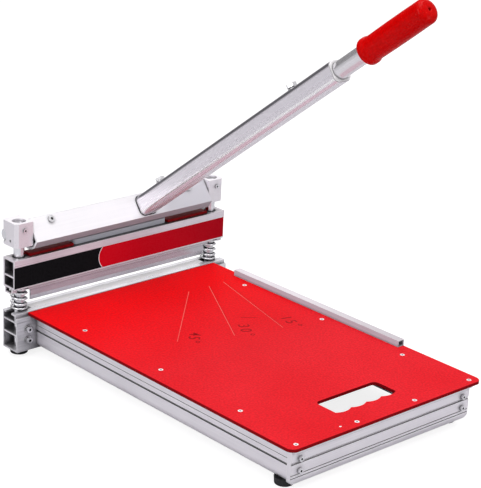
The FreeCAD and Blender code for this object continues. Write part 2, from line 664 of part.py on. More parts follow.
def lever_hollow():
    """The chamber between the face, the cam lip and the hub."""
    wall = size("lever_wall")
    inside = -size("lever_face") + wall
    ring = size("hub_radius") + 3.6
    start, end = math.radians(-85), math.radians(159)
    spots = [FreeCAD.Vector(0, ring * math.cos(end), ring * math.sin(end)),
             FreeCAD.Vector(0, inside, size("face_high") - 2.2),
             FreeCAD.Vector(0, inside, size("face_low") + 2.4),
             FreeCAD.Vector(0, -16.3, cam_point(math.radians(size("lever_swing"))).z + wall),
             FreeCAD.Vector(0, -6.8, -29.1), FreeCAD.Vector(0, -2.6, -25.2),
             FreeCAD.Vector(0, ring * math.cos(start), ring * math.sin(start))]
    edges = [Part.LineSegment(a, b).toShape() for a, b in zip(spots, spots[1:])]
    edges.append(Part.Arc(spots[-1], FreeCAD.Vector(0, -ring, 0), spots[0]).toShape())
    return Part.Wire(edges)


face_bolt_columns = (-129, 129)
socket_screw_rows = (-19, -4)


def make_lever():
    length = size("lever_length")
    run = FreeCAD.Vector(length, 0, 0)
    solid = Part.Face(lever_section()).extrude(run)
    solid = solid.cut(Part.Face(lever_hollow()).extrude(run))
    bore = Part.makeCylinder(size("bush_outer"), length, FreeCAD.Vector(0, 0, 0), FreeCAD.Vector(1, 0, 0))
    solid = solid.cut(bore)
    solid.translate(FreeCAD.Vector(-length / 2, 0, 0))
    bar = doc.addObject("Part::Feature", "lever")
    bar.Shape = solid
    face = "-lever_face"
    holes = [cylinder(2.5, "lever_wall", x, face, -0.7, Y_AXIS) for x in face_bolt_columns]
    holes += [cylinder(2, "lever_wall", "handle_x", face, z, Y_AXIS) for z in socket_screw_rows]
    finish("lever_bar", drill(bar, holes), place_on_lever)
    bolts = [socket_screw(x, face, -0.7, FRONT, 6, 5, 3.4, 2.5) for x in face_bolt_columns]
    finish("lever_face_bolts", together(bolts), place_on_lever)
    screws = [socket_screw("handle_x", "-lever_face + lever_wall", z, Y_AXIS, 13) for z in socket_screw_rows]
    finish("socket_screws", together(screws), place_on_lever)
    bushes = []
    for start in ("-lever_length / 2", "lever_length / 2 - lever_bush"):
        sleeve = cylinder("bush_outer", "lever_bush", start, 0, 0, X_AXIS)
        bushes.append(join("Cut", sleeve, cylinder("shaft_radius + fit_gap", "lever_bush", start, 0, 0, X_AXIS)))
    finish("lever_bushes", together(bushes), place_on_lever)


# ---- handle, drawn about its own axis, pointing to -Y ----
def round_square(body, across, high, start, length, radius):
    """A pad with rounded long edges about the handle's axis."""
    pad(body, "XZ", [box_outline("-(%s) / 2" % across, "(%s) / 2" % across,
                                 "-(%s) / 2" % high, "(%s) / 2" % high)], length=length, start=start)
    soften(body, lambda e: along(1, e), radius)


bolt_seat = "tube_high / 2"
clinch_flange = 1.2
bolt_radius = 4


def bolt_holes(spots, radius, top, depth):
    return [cylinder(radius, depth, 0, "-" + spot, top, DOWN) for spot in spots]


def make_outer_tube():
    tube = new_body("outer_tube")
    length = "tube_end - tube_start"
    round_square(tube, "tube_wide", "tube_high", "tube_start", length, "tube_round")
    hollow = new_body("tube_hollow")
    round_square(hollow, "tube_wide - 2 * tube_wall", "tube_high - 2 * tube_wall", "tube_start", length,
                 "tube_round - tube_wall")
    holes = bolt_holes(("clamp_at", "lock_at"), 5.5, bolt_seat, 4)
    finish("outer_tube", drill(tube, [hollow] + holes), place_on_handle)
    nuts = []
    for spot in ("clamp_at", "lock_at"):
        flange = cylinder(7.5, clinch_flange, 0, "-" + spot, bolt_seat, Z_AXIS)
        spigot = cylinder(5.5, "tube_wall", 0, "-" + spot, bolt_seat, DOWN)
        bore = cylinder(bolt_radius, 4, 0, "-" + spot, plus(bolt_seat, clinch_flange), DOWN)
        nuts.append(join("Cut", fuse(flange, spigot), bore))
    finish("clinch_nuts", together(nuts), place_on_handle)


def make_handle_socket():
    body = new_body("socket")
    round_square(body, "tube_wide - 2 * tube_wall - 0.2", "tube_high - 2 * tube_wall - 0.2",
                 "lever_face", 90, "tube_round - tube_wall - 0.1")
    tools = [box(16, 76, 17, -8, "-lever_face - 90", -8.5)]
    tools += bolt_holes(("clamp_at",), bolt_radius, bolt_seat, 12)
    tools += [cylinder(2, 11, 0, "-lever_face", "%s - handle_drop" % z, FRONT) for z in socket_screw_rows]
    finish("handle_socket", drill(body, tools), place_on_handle)
    seat = plus(bolt_seat, clinch_flange)
    clamp = hex_bolt(0, "-clamp_at", seat, Z_AXIS, 10, shank_radius=bolt_radius)
    finish("handle_clamp_bolt", clamp, place_on_handle)
    lock = hex_bolt(0, "-lock_at", plus(seat, 1.5), Z_AXIS, "tube_high / 2 + 2.7 - inner_radius - 0.1",
                    shank_radius=bolt_radius - 0.05)
    finish("lock_bolt", lock, place_on_handle)


def make_end_bush():
    collar = new_body("bush_collar")
    round_square(collar, "tube_wide - 1", "tube_high - 1", "tube_end", 1.5, "tube_round - 0.5")
    plug = new_body("bush_plug")
    round_square(plug, "tube_wide - 2 * tube_wall - 0.1", "tube_high - 2 * tube_wall - 0.1",
                 "tube_end - 22", 22, "tube_round - tube_wall - 0.05")
    bore = cylinder("inner_radius + fit_gap", 40, 0, "-tube_end + 30", 0, FRONT)
    finish("tube_end_bush", drill(fuse(collar, plug), [bore]), place_on_handle)


def make_inner_tube():
    body = new_body("inner_tube")
    pad(body, "XZ", circles=[("0", "0", "inner_radius"), ("0", "0", "inner_radius - 2")],
        length="inner_end - inner_start", start="inner_start")
    finish("inner_tube", body, place_on_handle)
    plug = new_body("slide_plug")
    round_square(plug, "tube_wide - 2 * tube_wall - 0.4", "tube_high - 2 * tube_wall - 0.4",
                 "inner_start - 12", 18, "tube_round - tube_wall - 0.2")
    finish("inner_tube_plug", drill(plug, [cylinder("inner_radius", 6, 0, "-inner_start", 0, FRONT)]),
           place_on_handle)


def make_grip():
    body = new_body("grip")
    start, end, bore = "-grip_start", "-grip_end", "inner_radius"
    outline = [(bore, start), ("grip_radius + 1.5", start), ("grip_radius + 1.5", start + " - 7"),
               ("grip_radius", start + " - 15"), ("grip_radius", end), ("3", end), ("3", "-inner_end"),
               (bore, "-inner_end")]
    revolve(body, "XY", outline, "V_Axis")
    tip = -size("grip_end")
    soften(body, lambda e: isinstance(e.Curve, Part.Circle) and abs(middle(e).y - tip) < 0.1
           and e.Curve.Radius > 10, 9)
    finish("handle_grip", body, place_on_handle)


# ---- fence and feet ----
def make_fence():
    body = new_body("fence")
    edge = "table_width / 2"
    wall = "fence_wall"
    pad(body, "XZ", [box_outline(edge + " - fence_width", edge, "0", "fence_high"),
                     box_outline(edge + " - fence_width + fence_wall", edge + " - fence_wall", wall,
                                 "fence_high - fence_wall")],
        length="fence_far - fence_near", start="-fence_far")
    holes = [cylinder(2, wall, fence_middle, row, 0, Z_AXIS) for row in fence_rivet_rows]
    finish("fence_tube", drill(body, holes))
    rivets = []
    for row in fence_rivet_rows:
        head = cylinder(3.6, 1.4, fence_middle, row, wall, Z_AXIS)
        shank = cylinder(2, "table_thick + fence_wall", fence_middle, row, wall, DOWN)
        foot = cylinder(3.6, 1.4, fence_middle, row, "-table_thick", DOWN)
        rivets.append(fuse(head, shank, foot))
    finish("fence_rivets", together(rivets))


def make_foot(label, x, y):
    body = new_body("foot")
    base = "rail_bottom - foot_high"
    outline = [("2.1", "rail_bottom"), ("foot_radius", "rail_bottom"), ("foot_radius - 0.8", base),
               ("6.5", base), ("6.5", "rail_bottom - 4"), ("2.1", "rail_bottom - 4")]
    revolve(body, "XZ", outline, "V_Axis")
    soften(body, lambda e: isinstance(e.Curve, Part.Circle) and e.Curve.Radius > 12
           and middle(e).z < size("rail_bottom") - 5, 1.5)
    finish(label, body, lambda foot: place(foot, x, "table_back + " + y))


def make_feet():
    spots = {}
    for side, sign in SIDES:
        spots["foot_beam_" + side] = ("%s * post_x" % sign, "post_y")
        spots["foot_near_" + side] = ("%s * (%s)" % (sign, rail_middle), "foot_near_y")
    screws = []
    for label, (x, y) in spots.items():
        make_foot(label, x, y)
        screws.append(socket_screw(x, y, "rail_bottom - 4", DOWN, 9.5, 4.5, 3))
    finish("foot_screws", together(screws))


make_table()
make_near_rail()
make_lower_beam()
make_anvil()
for side, sign in SIDES:
    make_side_rail(side, sign)
    make_post(side, sign)
    make_spring(side, sign)
    make_block(side, sign)
make_block_screws()
make_shaft()
make_press_beam()
make_bushings()
make_blade()
make_label()
make_follower()
make_lever()
make_outer_tube()
make_handle_socket()
make_end_bush()
make_inner_tube()
make_grip()
make_fence()
make_feet()
doc.recompute()

for thing in doc.Objects:
    if "Invalid" in thing.State or "Error" in thing.State:
        raise RuntimeError("%s failed: %s" % (thing.Label, thing.State))
os.makedirs("parts", exist_ok=True)
for piece in subparts:
    if piece.Shape.isNull() or not piece.Shape.isValid() or not piece.Shape.Solids:
        raise RuntimeError(piece.Label + " has no sound shape")
    piece.Shape.exportStep("parts/%s.step" % piece.Label)
    print(piece.Label, len(piece.Shape.Solids), round(piece.Shape.Volume))
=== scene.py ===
import json
import math
import bmesh
import bpy
from mathutils import Matrix, Quaternion, Vector


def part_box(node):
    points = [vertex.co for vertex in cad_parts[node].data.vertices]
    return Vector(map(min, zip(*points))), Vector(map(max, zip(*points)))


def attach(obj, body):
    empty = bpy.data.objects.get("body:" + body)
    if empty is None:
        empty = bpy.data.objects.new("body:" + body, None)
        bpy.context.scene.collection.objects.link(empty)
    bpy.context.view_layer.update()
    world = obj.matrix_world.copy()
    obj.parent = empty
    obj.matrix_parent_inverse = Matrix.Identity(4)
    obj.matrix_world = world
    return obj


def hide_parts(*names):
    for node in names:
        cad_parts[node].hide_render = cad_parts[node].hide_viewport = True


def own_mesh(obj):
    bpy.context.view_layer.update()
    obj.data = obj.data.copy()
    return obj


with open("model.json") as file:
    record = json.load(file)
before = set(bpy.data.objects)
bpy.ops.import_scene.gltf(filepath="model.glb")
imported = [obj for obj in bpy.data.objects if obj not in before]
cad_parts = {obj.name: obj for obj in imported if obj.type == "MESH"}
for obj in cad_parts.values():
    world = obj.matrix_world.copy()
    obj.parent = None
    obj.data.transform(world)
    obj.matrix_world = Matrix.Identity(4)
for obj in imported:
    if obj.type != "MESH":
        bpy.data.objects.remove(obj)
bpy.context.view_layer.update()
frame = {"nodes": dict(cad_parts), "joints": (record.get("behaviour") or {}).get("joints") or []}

# Flooring cutter: red table on aluminium rails, sprung blade beam, cam lever and telescoping handle.
mm = 0.001
nodes = frame["nodes"]
joints = {joint["name"]: joint for joint in frame["joints"]}

cameraSetup = {
    "lookAt": (0.0704, 0.0751, 0.173),
    "azimuth": -42.67,      # degrees round from straight ahead
    "elevation": 19.76,
    "roll": 2.54,
    "distance": 2.516,
    "lens": 130.1,
}


def makeCamera(setup):
    azimuth, elevation = math.radians(setup["azimuth"]), math.radians(setup["elevation"])
    target = Vector(setup["lookAt"])
    away = Vector((math.sin(azimuth) * math.cos(elevation), -math.cos(azimuth) * math.cos(elevation),
                   math.sin(elevation)))
    data = bpy.data.cameras.new("camera")
    data.lens = setup["lens"]
    data.sensor_fit = "HORIZONTAL"
    data.clip_end = 30
    camera = bpy.data.objects.new("camera", data)
    bpy.context.scene.collection.objects.link(camera)
    camera.location = target + away * setup["distance"]
    camera.rotation_mode = "QUATERNION"
    turn = (-away).to_track_quat("-Z", "Y")
    camera.rotation_quaternion = turn @ Quaternion((0, 0, 1), math.radians(setup["roll"]))
    bpy.context.scene.camera = camera


def newGroup(name, inputs, outputs):
    tree = bpy.data.node_groups.new(name, "ShaderNodeTree")
    for label, kind, value in inputs:
        socket = tree.interface.new_socket(label, in_out="INPUT", socket_type=kind)
        if value is not None:
            socket.default_value = value
    for label, kind in outputs:
        tree.interface.new_socket(label, in_out="OUTPUT", socket_type=kind)
    return tree, tree.nodes.new("NodeGroupInput").outputs, tree.nodes.new("NodeGroupOutput").inputs


def link(tree, source, target):
    tree.links.new(source, target)


def feed(tree, socket, value):
    if isinstance(value, bpy.types.NodeSocket):
        link(tree, value, socket)
    elif value is not None:
        socket.default_value = (*value, 1) if isinstance(value, tuple) else value


def mathNode(tree, operation, *values):
    node = tree.nodes.new("ShaderNodeMath")
    node.operation = operation
    for socket, value in zip(node.inputs, values):
        feed(tree, socket, value)
    return node.outputs[0]


def noiseNode(tree, vector, scale, detail=2.0, roughness=0.5):
    node = tree.nodes.new("ShaderNodeTexNoise")
    node.inputs["Scale"].default_value = scale
    node.inputs["Detail"].default_value = detail
    node.inputs["Roughness"].default_value = roughness
    link(tree, vector, node.inputs["Vector"])
    return node.outputs["Fac"]


def rampNode(tree, value, low, high, outLow=0.0, outHigh=1.0):
    node = tree.nodes.new("ShaderNodeMapRange")
    for label, number in (("From Min", low), ("From Max", high), ("To Min", outLow), ("To Max", outHigh)):
        node.inputs[label].default_value = number
    link(tree, value, node.inputs["Value"])
    return node.outputs["Result"]


def mixColour(tree, amount, first, second):
    node = tree.nodes.new("ShaderNodeMix")
    node.data_type = "RGBA"
    sockets = (node.inputs[0], node.inputs[6], node.inputs[7])      # factor and the two colours
    for socket, value in zip(sockets, (amount, first, second)):
        feed(tree, socket, value)
    return node.outputs[2]


lightSetup = {
    "world": (1.0, 0.985, 1.0),
    "worldLevels": ((-1.0, 0.9), (-0.02, 0.85), (0.03, 0.34), (0.22, 0.5), (0.5, 0.72), (1.0, 0.62)),
    "stripes": 5,      # bright bands round the horizon
    "stripeDepth": 0.15,
    "flag": 0.8,      # how much the dark flag behind takes away
    "flagSpan": (0.7, 0.9),
    # name, where it hangs, what it points at, width, height, watts, colour
    "boxes": (
        ("keyBox", (-2.3, -0.5, 1.7), (0, 0, 0.1), 1.5, 1.5, 22, (1, 1, 1)),
        ("topBox", (0.1, -0.2, 2.6), (0, -0.05, 0.1), 1.8, 1.8, 29, (1, 0.99, 0.99)),
        ("frontBox", (0.9, -2.6, 0.9), (0, 0, 0.15), 1.3, 1.1, 8.5, (1, 0.97, 0.99)),
        ("backBox", (1.6, 2.2, 1.6), (0, 0.1, 0.2), 1.3, 1.1, 6, (1, 1, 1)),
    ),
}


def makeWorld(setup):
    world = bpy.data.worlds.new("studio")
    world.use_nodes = True
    tree = world.node_tree
    background = tree.nodes["Background"]
    coordinates = tree.nodes.new("ShaderNodeTexCoord")
    parts = tree.nodes.new("ShaderNodeSeparateXYZ")
    link(tree, coordinates.outputs["Generated"], parts.inputs[0])
    levels = tree.nodes.new("ShaderNodeValToRGB")
    ramp = levels.color_ramp
    while len(ramp.elements) < len(setup["worldLevels"]):
        ramp.elements.new(0.5)
    for element, (z, level) in zip(ramp.elements, setup["worldLevels"]):
        element.position = (z + 1) / 2
        element.color = (*(level * c for c in setup["world"]), 1)
    link(tree, rampNode(tree, parts.outputs[2], -1.0, 1.0), levels.inputs["Fac"])
    angle = mathNode(tree, "ARCTAN2", parts.outputs[1], parts.outputs[0])
    wave = mathNode(tree, "SINE", mathNode(tree, "MULTIPLY", angle, setup["stripes"]))
    strength = mathNode(tree, "MULTIPLY_ADD", wave, setup["stripeDepth"], 1.0)
    flag = rampNode(tree, parts.outputs[1], *setup["flagSpan"], 1.0, 1 - setup["flag"])
    link(tree, levels.outputs["Color"], background.inputs["Color"])
    link(tree, mathNode(tree, "MULTIPLY", strength, flag), background.inputs["Strength"])
    backdrop = tree.nodes.new("ShaderNodeBackground")      # seen directly, the studio wall is plain white
    backdrop.inputs["Color"].default_value = (1, 1, 1, 1)
    rays = tree.nodes.new("ShaderNodeLightPath")
    either = tree.nodes.new("ShaderNodeMixShader")
    link(tree, rays.outputs["Is Camera Ray"], either.inputs[0])
    link(tree, background.outputs[0], either.inputs[1])
    link(tree, backdrop.outputs[0], either.inputs[2])
    link(tree, either.outputs[0], tree.nodes["World Output"].inputs["Surface"])
    bpy.context.scene.world = world


def makeLights(setup):
    for name, place, aim, wide, high, watts, colour in setup["boxes"]:
        data = bpy.data.lights.new(name, "AREA")
        data.shape = "RECTANGLE"
        data.size, data.size_y = wide, high
        data.energy = watts
        data.color = colour
        light = bpy.data.objects.new(name, data)
        light.location = place
        light.rotation_euler = (Vector(aim) - Vector(place)).to_track_quat("-Z", "Y").to_euler()
        bpy.context.scene.collection.objects.link(light)
    bpy.context.scene.view_settings.view_transform = "Standard"


makeCamera(cameraSetup)
makeWorld(lightSetup)
makeLights(lightSetup)
print("camera and lights stand")


def makeDrawnGroup():
    tree, inputs, outputs = newGroup(
        "drawnLines",
        [("Vector", "NodeSocketVector", None), ("Fineness", "NodeSocketFloat", 900.0),
         ("Length", "NodeSocketFloat", 0.02)],
        [("Lines", "NodeSocketFloat"), ("Clouds", "NodeSocketFloat")])
    squeeze = tree.nodes.new("ShaderNodeCombineXYZ")
    link(tree, inputs["Length"], squeeze.inputs[0])
    squeeze.inputs[1].default_value = 1
    squeeze.inputs[2].default_value = 1
    stretched = tree.nodes.new("ShaderNodeVectorMath")
    stretched.operation = "MULTIPLY"
    link(tree, inputs["Vector"], stretched.inputs[0])
    link(tree, squeeze.outputs[0], stretched.inputs[1])
    fine = tree.nodes.new("ShaderNodeTexNoise")
    fine.inputs["Detail"].default_value = 3
    link(tree, inputs["Fineness"], fine.inputs["Scale"])
    link(tree, stretched.outputs[0], fine.inputs["Vector"])
    link(tree, fine.outputs["Fac"], outputs["Lines"])
    link(tree, noiseNode(tree, inputs["Vector"], 14, 3), outputs["Clouds"])
    return tree


def makeEdgeGroup():
    tree, inputs, outputs = newGroup(
        "softEdges", [("Radius", "NodeSocketFloat", 0.0005), ("Reach", "NodeSocketFloat", 0.005)],
        [("Normal", "NodeSocketVector"), ("Edge", "NodeSocketFloat"), ("Open", "NodeSocketFloat")])
    bevel = tree.nodes.new("ShaderNodeBevel")
    bevel.samples = 4
    link(tree, inputs["Radius"], bevel.inputs["Radius"])
    geometry = tree.nodes.new("ShaderNodeNewGeometry")
    dot = tree.nodes.new("ShaderNodeVectorMath")
    dot.operation = "DOT_PRODUCT"
    link(tree, bevel.outputs[0], dot.inputs[0])
    link(tree, geometry.outputs["Normal"], dot.inputs[1])
    link(tree, bevel.outputs[0], outputs["Normal"])
    link(tree, rampNode(tree, dot.outputs["Value"], 0.995, 0.8), outputs["Edge"])
    # ambient occlusion: the mask for the painted crevice shade
    hollow = tree.nodes.new("ShaderNodeAmbientOcclusion")
    hollow.samples = 4
    link(tree, inputs["Reach"], hollow.inputs["Distance"])
    link(tree, rampNode(tree, hollow.outputs["AO"], 0.45, 0.86), outputs["Open"])
    return tree


def makeGrainGroup():
    tree, inputs, outputs = newGroup(
        "coatGrain", [("Vector", "NodeSocketVector", None), ("Grain", "NodeSocketFloat", 900.0)],
        [("Peel", "NodeSocketFloat"), ("Drift", "NodeSocketFloat"), ("Specks", "NodeSocketFloat")])
    peel = tree.nodes.new("ShaderNodeTexNoise")
    peel.inputs["Detail"].default_value = 2
    link(tree, inputs["Vector"], peel.inputs["Vector"])
    link(tree, inputs["Grain"], peel.inputs["Scale"])
    link(tree, peel.outputs["Fac"], outputs["Peel"])
    link(tree, noiseNode(tree, inputs["Vector"], 6, 2), outputs["Drift"])
    specksAndGlints = tree.nodes.new("ShaderNodeTexVoronoi")
    specksAndGlints.inputs["Scale"].default_value = 260
    link(tree, inputs["Vector"], specksAndGlints.inputs["Vector"])
    link(tree, rampNode(tree, specksAndGlints.outputs["Distance"], 0.13, 0.04), outputs["Specks"])
    return tree


drawnGroup = makeDrawnGroup()
edgeGroup = makeEdgeGroup()
grainGroup = makeGrainGroup()


def groupNode(tree, group, **values):
    node = tree.nodes.new("ShaderNodeGroup")
    node.node_tree = group
    for label, value in values.items():
        feed(tree, node.inputs[label], value)
    return node.outputs


def startMaterial(name, turn=(0, 0, 0)):
    material = bpy.data.materials.new(name)
    material.use_nodes = True
    tree = material.node_tree
    shader = tree.nodes["Principled BSDF"]
    coordinates = tree.nodes.new("ShaderNodeTexCoord")
    turned = tree.nodes.new("ShaderNodeMapping")
    turned.inputs["Rotation"].default_value = turn
    link(tree, coordinates.outputs["Object"], turned.inputs["Vector"])
    return material, tree, shader, turned.outputs["Vector"]


def bumpTo(tree, shader, height, strength, distance, normal=None):
    bump = tree.nodes.new("ShaderNodeBump")
    bump.inputs["Strength"].default_value = strength
    bump.inputs["Distance"].default_value = distance
    link(tree, height, bump.inputs["Height"])
    if normal is not None:
        link(tree, normal, bump.inputs["Normal"])
    link(tree, bump.outputs["Normal"], shader.inputs["Normal"])


# which way the drawn lines of an extrusion run
alongX, alongY = (0, 0, 0), (0, 0, math.radians(90))
handleLift = math.asin(joints["handle_telescope"]["axis"][2])
alongHandle = (handleLift, 0, math.radians(90))


def metal(name, light, dark, roughness, turn=alongX, fineness=700.0, length=0.01, relief=0.12,
          edge=0.0005, metallic=0.75, paintedCreviceShade=0.6, shade=None, paintedBands=(), reach=0.005):
    material, tree, shader, vector = startMaterial(name, turn)
    drawn = groupNode(tree, drawnGroup, Vector=vector, Fineness=fineness, Length=length)
    soft = groupNode(tree, edgeGroup, Radius=edge, Reach=reach)
    mixed = mathNode(tree, "ADD", mathNode(tree, "MULTIPLY", drawn["Clouds"], 0.5),
                     mathNode(tree, "MULTIPLY", drawn["Lines"], 0.5))
    body = mixColour(tree, rampNode(tree, mixed, 0.35, 0.65), dark, light)
    # painted highlight: edges are lifted towards a paler tone by the bevel edge mask
    paintedEdgeHighlight = tuple(min(1.0, c * 1.2) for c in light)
    colour = mixColour(tree, mathNode(tree, "MULTIPLY", soft["Edge"], 0.9), body, paintedEdgeHighlight)
    if shade is not None:      # from, to along X, and the tone reached there
        parts = tree.nodes.new("ShaderNodeSeparateXYZ")
        link(tree, vector, parts.inputs[0])
        colour = mixColour(tree, rampNode(tree, parts.outputs[0], *shade[:2]), colour, shade[2])
    if paintedBands:
        upright = tree.nodes.new("ShaderNodeSeparateXYZ")
        link(tree, tree.nodes.new("ShaderNodeNewGeometry").outputs["Normal"], upright.inputs[0])
    for low, high, tone in paintedBands:      # painted highlight and painted shade: a band of paler or darker tone where the normal's up part lies between low and high
        middle = (low + high) / 2
        onset = rampNode(tree, upright.outputs[2], low, low + (middle - low) * 0.6)
        fade = rampNode(tree, upright.outputs[2], high, high - (high - middle) * 0.6)
        colour = mixColour(tree, mathNode(tree, "MULTIPLY", onset, fade), colour, tone)
    # painted shade: grooves, hollows and gaps darkened by the occlusion mask
    creviceShadeTone = tuple(c * (1 - paintedCreviceShade) for c in dark)
    colour = mixColour(tree, soft["Open"], creviceShadeTone, colour)
    link(tree, colour, shader.inputs["Base Color"])
    link(tree, rampNode(tree, soft["Edge"], 0, 1, metallic, metallic * 0.25), shader.inputs["Metallic"])
    rough = rampNode(tree, drawn["Lines"], 0.3, 0.7, roughness * 0.8, roughness * 1.2)
    link(tree, rough, shader.inputs["Roughness"])
    bumpTo(tree, shader, drawn["Lines"], relief, 0.0002, soft["Normal"])
    return material


def coat(name, light, dark, roughness, grain=900.0, relief=0.15, depth=0.0002, gloss=0.0, edge=0.0005,
         specksAndGlints=0.0, speckAndGlintColour=(0.9, 0.5, 0.5), shine=0.4, paintedFlankShade=1.0, bounce=None,
         paintedShadingAlongY=None, peelTone=0.0, paintedCreviceShade=0.0):
    material, tree, shader, vector = startMaterial(name)
    grains = groupNode(tree, grainGroup, Vector=vector, Grain=grain)
    soft = groupNode(tree, edgeGroup, Radius=edge)
    body = mixColour(tree, rampNode(tree, grains["Drift"], 0.35, 0.65), dark, light)
    # scattered bright specks; on the grip they are painted glints
    dusted = mixColour(tree, mathNode(tree, "MULTIPLY", grains["Specks"], specksAndGlints), body, speckAndGlintColour)
    if paintedShadingAlongY is not None:      # painted shading towards the far edge: from, to along Y, and the tone reached there
        parts = tree.nodes.new("ShaderNodeSeparateXYZ")
        link(tree, vector, parts.inputs[0])
        amount = rampNode(tree, parts.outputs[1], paintedShadingAlongY[1], paintedShadingAlongY[0])
        dusted = mixColour(tree, mathNode(tree, "MULTIPLY", amount, 0.8), dusted, paintedShadingAlongY[2])
    if peelTone:      # hollows of the grain hold less light
        shadowed = rampNode(tree, grains["Peel"], 0.62, 0.36, 0.0, peelTone)
        dusted = mixColour(tree, shadowed, dusted, tuple(c * 0.5 for c in dark))
    if paintedFlankShade < 1:      # painted shade: upright faces are darker than the top
        facing = tree.nodes.new("ShaderNodeSeparateXYZ")
        link(tree, tree.nodes.new("ShaderNodeNewGeometry").outputs["Normal"], facing.inputs[0])
        level = rampNode(tree, facing.outputs[2], 0.3, 0.9)
        dusted = mixColour(tree, level, tuple(c * paintedFlankShade for c in dark), dusted)
    if bounce is not None:      # paler where it is only mirrored by the bright metal
        rays = tree.nodes.new("ShaderNodeLightPath")
        dusted = mixColour(tree, rays.outputs["Is Camera Ray"], bounce, dusted)
    # painted shade: the occlusion mask darkens hollows and gaps
    if paintedCreviceShade:
        dusted = mixColour(tree, soft["Open"], tuple(c * (1 - paintedCreviceShade) for c in dark), dusted)
    link(tree, dusted, shader.inputs["Base Color"])
    shader.inputs["Specular IOR Level"].default_value = shine
    rough = rampNode(tree, grains["Peel"], 0.3, 0.7, roughness * 0.85, roughness * 1.15)
    link(tree, rough, shader.inputs["Roughness"])
    shader.inputs["Coat Weight"].default_value = gloss
    shader.inputs["Coat Roughness"].default_value = 0.08
    bumpTo(tree, shader, grains["Peel"], relief, depth, soft["Normal"])
    return material


aluminium = {"light": (0.95, 0.925, 0.965), "dark": (0.85, 0.82, 0.87), "roughness": 0.38, "paintedCreviceShade": 0.9,
             "edge": 0.0010, "reach": 0.007}
beamMetal = metal("beamAluminium", (0.88, 0.83, 0.88), (0.70, 0.65, 0.69), 0.34, turn=alongX, edge=0.0011,
                  reach=0.02, paintedCreviceShade=0.9)
nearMetal = metal("nearRailAluminium", **aluminium, turn=alongX)
railMetal = metal("railAluminium", **aluminium, turn=alongY)
fenceMetal = metal("fenceAluminium", (0.78, 0.73, 0.77), (0.70, 0.65, 0.69), 0.36, turn=alongY)
# painted shade: the lever's underside and its right end are darker
leverMetal = metal("leverAluminium", (0.95, 0.94, 0.965), (0.89, 0.88, 0.91), 0.5, metallic=0.3,
                   shade=(0.035, 0.085, (0.62, 0.61, 0.66)), paintedBands=((-1.7, -0.12, (0.40, 0.35, 0.38)),))
# painted reflection and painted highlight: a dark band on the tube's upper rounded corner, a white band on
# its lower one
tubeMetal = metal("tubeAluminium", (0.90, 0.87, 0.92), (0.865, 0.835, 0.885), 0.26, turn=alongHandle,
                  relief=0.005, fineness=200, length=0.001,
                  paintedBands=((0.1, 0.7, (0.30, 0.29, 0.32)), (-0.42, -0.06, (1.0, 1.0, 1.0))))
blockMetal = metal("blockAluminium", (0.93, 0.90, 0.94), (0.86, 0.83, 0.87), 0.34, fineness=1400, length=0.6,
                   relief=0.03, edge=0.0009)
brushedMetal = metal("brushedFront", (0.97, 0.96, 0.99), (0.60, 0.59, 0.63), 0.34, fineness=330,
                     length=0.02, relief=0.3, edge=0.0011, reach=0.02, paintedCreviceShade=0.85)
bladeSteel = metal("bladeSteel", (0.66, 0.64, 0.68), (0.55, 0.53, 0.57), 0.22, length=0.02)
chrome = metal("polishedSteel", (0.90, 0.90, 0.92), (0.84, 0.84, 0.87), 0.12, relief=0.02, length=0.5,
               metallic=1.0)
innerTubeMetal = metal("innerTubeMetal", (0.90, 0.89, 0.91), (0.82, 0.80, 0.84), 0.22, turn=alongHandle,
                       relief=0.06)
zinc = metal("zincPlate", (0.93, 0.93, 0.95), (0.80, 0.80, 0.82), 0.25, fineness=500, length=1.0, relief=0.06,
             edge=0.0002, metallic=1.0, paintedCreviceShade=0.9)
paleScrew = metal("paleScrew", (0.96, 0.92, 0.93), (0.86, 0.82, 0.83), 0.4, fineness=500, length=1.0,
                  relief=0.06, edge=0.0002, metallic=0.4, paintedCreviceShade=0.7)

redPaint = coat("redPowderCoat", (0.80, 0.020, 0.030), (0.75, 0.014, 0.022), 0.45, grain=360, relief=0.7,
                depth=0.0008, specksAndGlints=0.6, speckAndGlintColour=(1.0, 0.09, 0.10), shine=0.012, paintedFlankShade=0.3,
                bounce=(0.56, 0.40, 0.44), paintedShadingAlongY=(0.19, -0.04, (0.93, 0.001, 0.002)), peelTone=0.36)
# the grip's bright specks are painted glints
gripRed = coat("gripRed", (0.66, 0.0, 0.0), (0.56, 0.0, 0.0), 0.25, grain=300, relief=0.6, depth=0.0008,
               gloss=0.12, specksAndGlints=0.8, speckAndGlintColour=(1.0, 0.05, 0.03), shine=0.02, peelTone=0.25)
nylonWhite = coat("nylonWhite", (0.90, 0.89, 0.90), (0.84, 0.83, 0.84), 0.4, relief=0.05, paintedCreviceShade=0.85)
nylonRed = coat("nylonRed", (0.26, 0.003, 0.006), (0.18, 0.002, 0.004), 0.4, relief=0.05, shine=0.08)
paleBar = coat("paleBar", (0.52, 0.55, 0.60), (0.44, 0.47, 0.52), 0.35, relief=0.05)
rubberBlack = coat("rubberBlack", (0.022, 0.022, 0.024), (0.012, 0.012, 0.013), 0.62, relief=0.3)
scribeLine = coat("scribeLine", (0.92, 0.15, 0.13), (0.84, 0.11, 0.10), 0.45, relief=0.05, shine=0.05)
engraved = coat("engravedDark", (0.38, 0.002, 0.006), (0.28, 0.002, 0.004), 0.5, relief=0.1, shine=0.03)
dividerWhite = coat("dividerWhite", (0.88, 0.80, 0.82), (0.80, 0.72, 0.74), 0.35, relief=0.02)

labelLook = {
    "black": (0.006, 0.006, 0.007),
    "redNear": (0.66, 0.003, 0.012),
    "redFar": (0.40, 0.001, 0.009),
    "dividerX": -0.0475,      # where the red field's round end touches the black one
    "arcRadius": 0.022,
    "ruleHalf": 0.5 * mm,      # white rule between the fields
    "ruleProud": 0.15 * mm,
    "ruleMargin": 0.1 * mm,
    "ruleSteps": 32,
}


